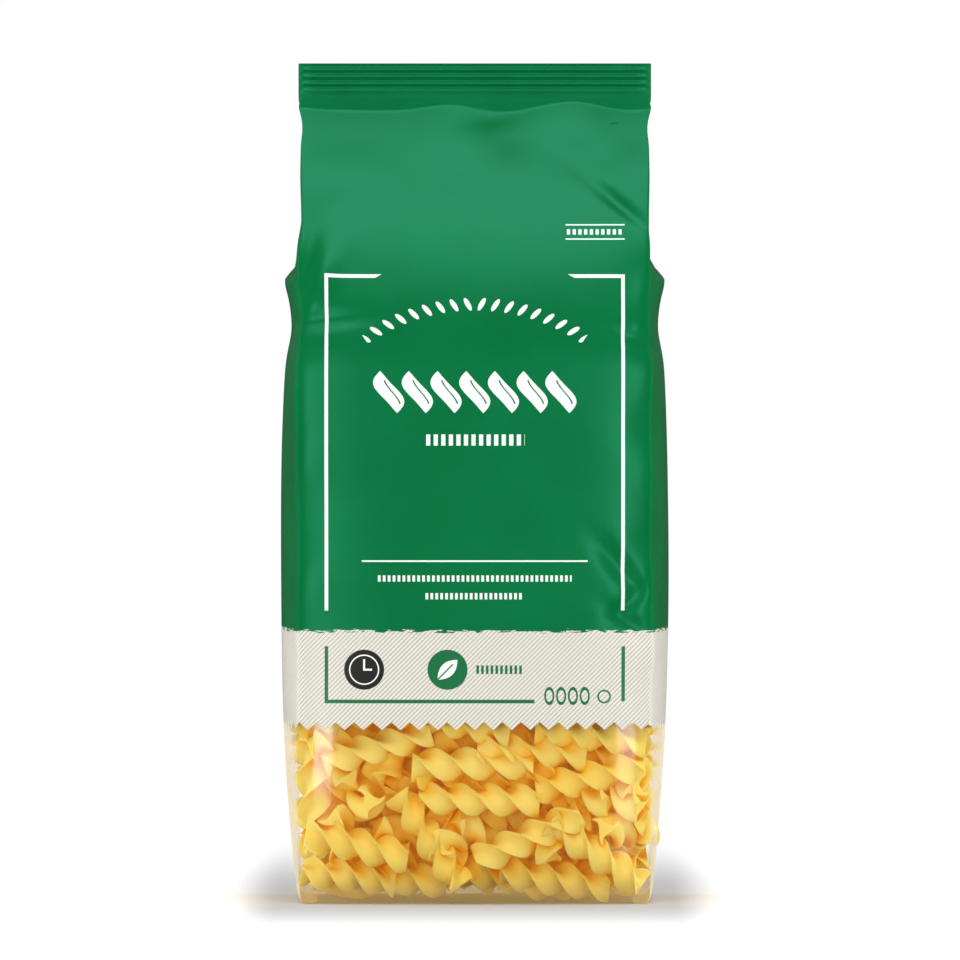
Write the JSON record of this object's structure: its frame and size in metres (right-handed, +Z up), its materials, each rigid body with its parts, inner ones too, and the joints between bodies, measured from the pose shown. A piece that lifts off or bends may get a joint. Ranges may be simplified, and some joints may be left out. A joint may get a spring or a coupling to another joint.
{
  "type": "pasta packet",
  "caption": "Upright side-gusset film packet filled with spiral pasta: flat base, folded-in sides, crimped top seal and a clear window round the foot.",
  "frame": {"origin": "middle of the flat base that the packet stands on", "axes": "+Z up towards the crimped seal, -Y out of the front panel, +X to the right of a person who faces the front panel"},
  "size_m": [0.1188, 0.0717, 0.256],
  "materials": {
    "film": "glossy printed film, deep green with a cream band and a clear window",
    "pasta": "dry durum wheat pasta, matt golden yellow, seen through the clear film"
  },
  "bodies": {
    "root": {"packet": "film"}
  },
  "joints": []
}
